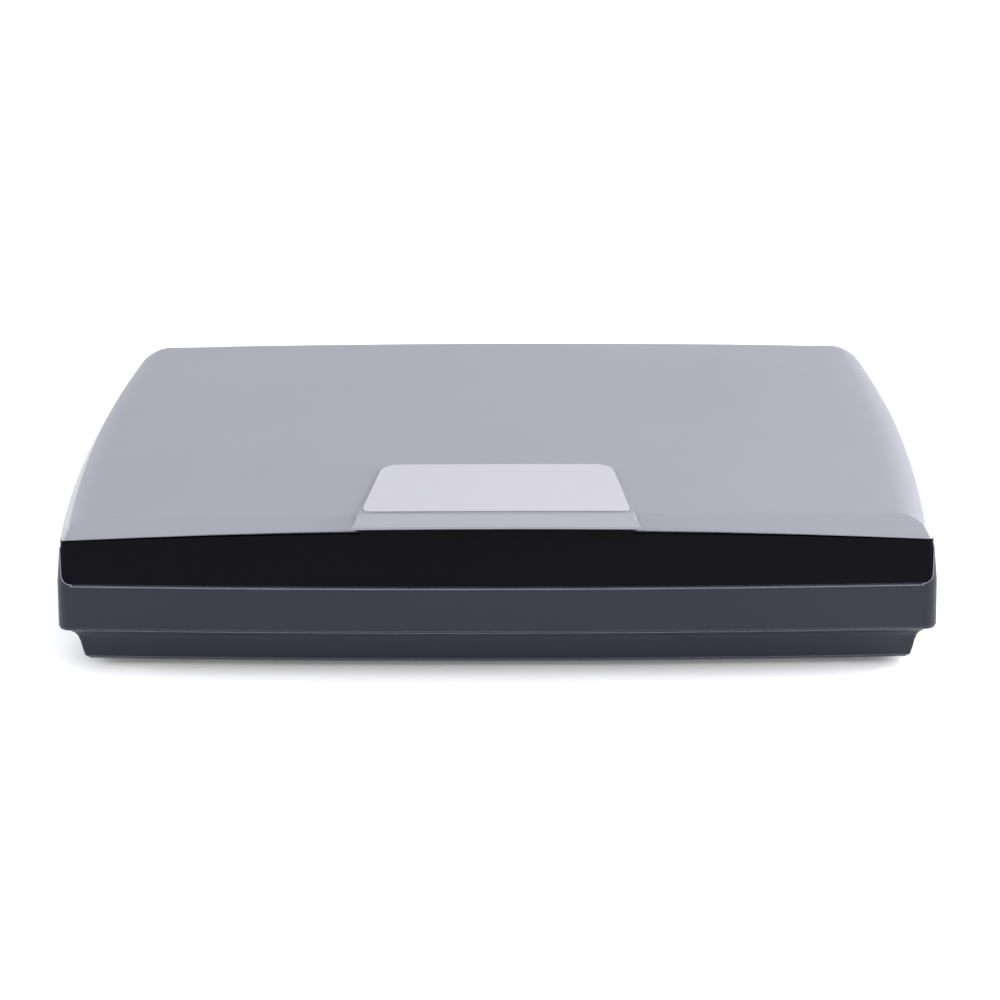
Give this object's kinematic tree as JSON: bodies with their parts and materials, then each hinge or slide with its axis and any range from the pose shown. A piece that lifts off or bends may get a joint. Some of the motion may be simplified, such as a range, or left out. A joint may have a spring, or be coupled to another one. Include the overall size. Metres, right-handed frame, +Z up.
{
  "type": "flatbed scanner",
  "caption": "Flatbed document scanner: low grey housing with a plinth, black front band, glass bed with a travelling scan head, and a lifting silver lid with a raised front tab.",
  "frame": {"origin": "bottom centre of the whole scanner with the lid closed, at the level of the rubber feet", "axes": "+X across the long front to the right, +Y from the front to the hinge side, +Z up"},
  "size_m": [0.496, 0.3202, 0.0978],
  "materials": {
    "housing_grey": "satin",
    "band_black": "gloss",
    "deck_black": "matte",
    "glass": "polished",
    "tape": "matte",
    "white_strip": "matte",
    "lid_silver": "satin",
    "plate_silver": "satin",
    "liner_grey": "matte",
    "pad_foam": "matte",
    "pad_sheet": "satin",
    "rubber": "matte",
    "steel": "brushed",
    "zinc_steel": "satin",
    "screw_steel": "satin",
    "hinge_black": "matte",
    "head_black": "matte",
    "bronze": "satin",
    "nylon": "satin",
    "lamp_glass": "polished",
    "reflector": "polished",
    "mirror": "polished",
    "lens_black": "satin",
    "circuit_green": "gloss",
    "chip_black": "matte",
    "connector_cream": "satin",
    "port_metal": "satin",
    "jack_black": "satin",
    "switch_black": "satin",
    "belt_rubber": "matte",
    "flex_white": "satin"
  },
  "bodies": {
    "base": {"bottom_housing": "housing_grey", "front_band": "band_black", "deck_frame": "deck_black", "scan_glass": "glass", "glass_tape": "tape", "white_strip": "white_strip", "guide_rod": "steel", "support_rail": "zinc_steel", "drive_belt": "belt_rubber", "gear_stud": "steel", "motor_body": "zinc_steel", "motor_bracket": "zinc_steel", "bracket_screws": "screw_steel", "idler_carrier": "nylon", "main_board": "circuit_green", "board_screws": "screw_steel", "board_chips": "chip_black", "cable_header": "connector_cream", "usb_port": "port_metal", "power_jack": "jack_black", "switch_frame": "switch_black", "flex_cable": "flex_white", "rubber_feet": "rubber", "case_screws": "screw_steel"},
    "scan_head": {"head_housing": "head_black", "head_cover": "head_black", "rod_sleeves": "bronze", "slide_shoe": "nylon", "scan_lamp": "lamp_glass", "lamp_holders": "rubber", "lamp_reflector": "reflector", "fold_mirrors": "mirror", "lens_barrel": "lens_black", "sensor_board": "circuit_green", "flex_clip": "nylon"},
    "drive_gear": {"drive_gear": "nylon"},
    "idler_pulley": {"idler_pulley": "nylon"},
    "motor_rotor": {"motor_pinion": "bronze", "motor_shaft": "steel"},
    "hinge_posts": {"hinge_posts": "hinge_black"},
    "power_rocker": {"power_rocker": "switch_black"},
    "lid": {"lid_shell": "lid_silver", "nameplate": "plate_silver", "lid_liner": "liner_grey", "lid_screws": "screw_steel", "lid_bumpers": "rubber", "pad_foam": "pad_foam", "pad_sheet": "pad_sheet", "hinge_pins": "steel"}
  },
  "joints": [
    {"name": "lid_lift", "type": "slide", "parent": "base", "child": "hinge_posts", "axis": [0, 0, 1], "range_m": [0, 0.012]},
    {"name": "lid_hinge", "type": "hinge", "parent": "hinge_posts", "child": "lid", "pos_m": [0, 0.138, 0.087], "axis": [-1, 0, 0], "range_deg": [0, 75]},
    {"name": "head_slide", "type": "slide", "parent": "base", "child": "scan_head", "axis": [1, 0, 0], "range_m": [0, 0.318], "deforming": ["flex_cable"]},
    {"name": "drive_spin", "type": "hinge", "parent": "base", "child": "drive_gear", "pos_m": [0.2, -0.105, 0.012], "axis": [0, 0, 1], "continuous": true},
    {"name": "idler_spin", "type": "hinge", "parent": "base", "child": "idler_pulley", "pos_m": [-0.215, -0.105, 0.017], "axis": [0, 0, 1], "continuous": true},
    {"name": "motor_spin", "type": "hinge", "parent": "base", "child": "motor_rotor", "pos_m": [0.205, -0.08481, 0.012], "axis": [0, 0, 1], "continuous": true},
    {"name": "power_rock", "type": "hinge", "parent": "base", "child": "power_rocker", "pos_m": [-0.196, 0.154, 0.044], "axis": [0, 0, -1], "range_deg": [0, 12]}
  ],
  "couplings": [
    {"joint": "drive_spin", "follows": "head_slide", "rad_per_m": 136.99},
    {"joint": "idler_spin", "follows": "head_slide", "rad_per_m": 136.99},
    {"joint": "motor_spin", "follows": "head_slide", "rad_per_m": -456.62}
  ]
}
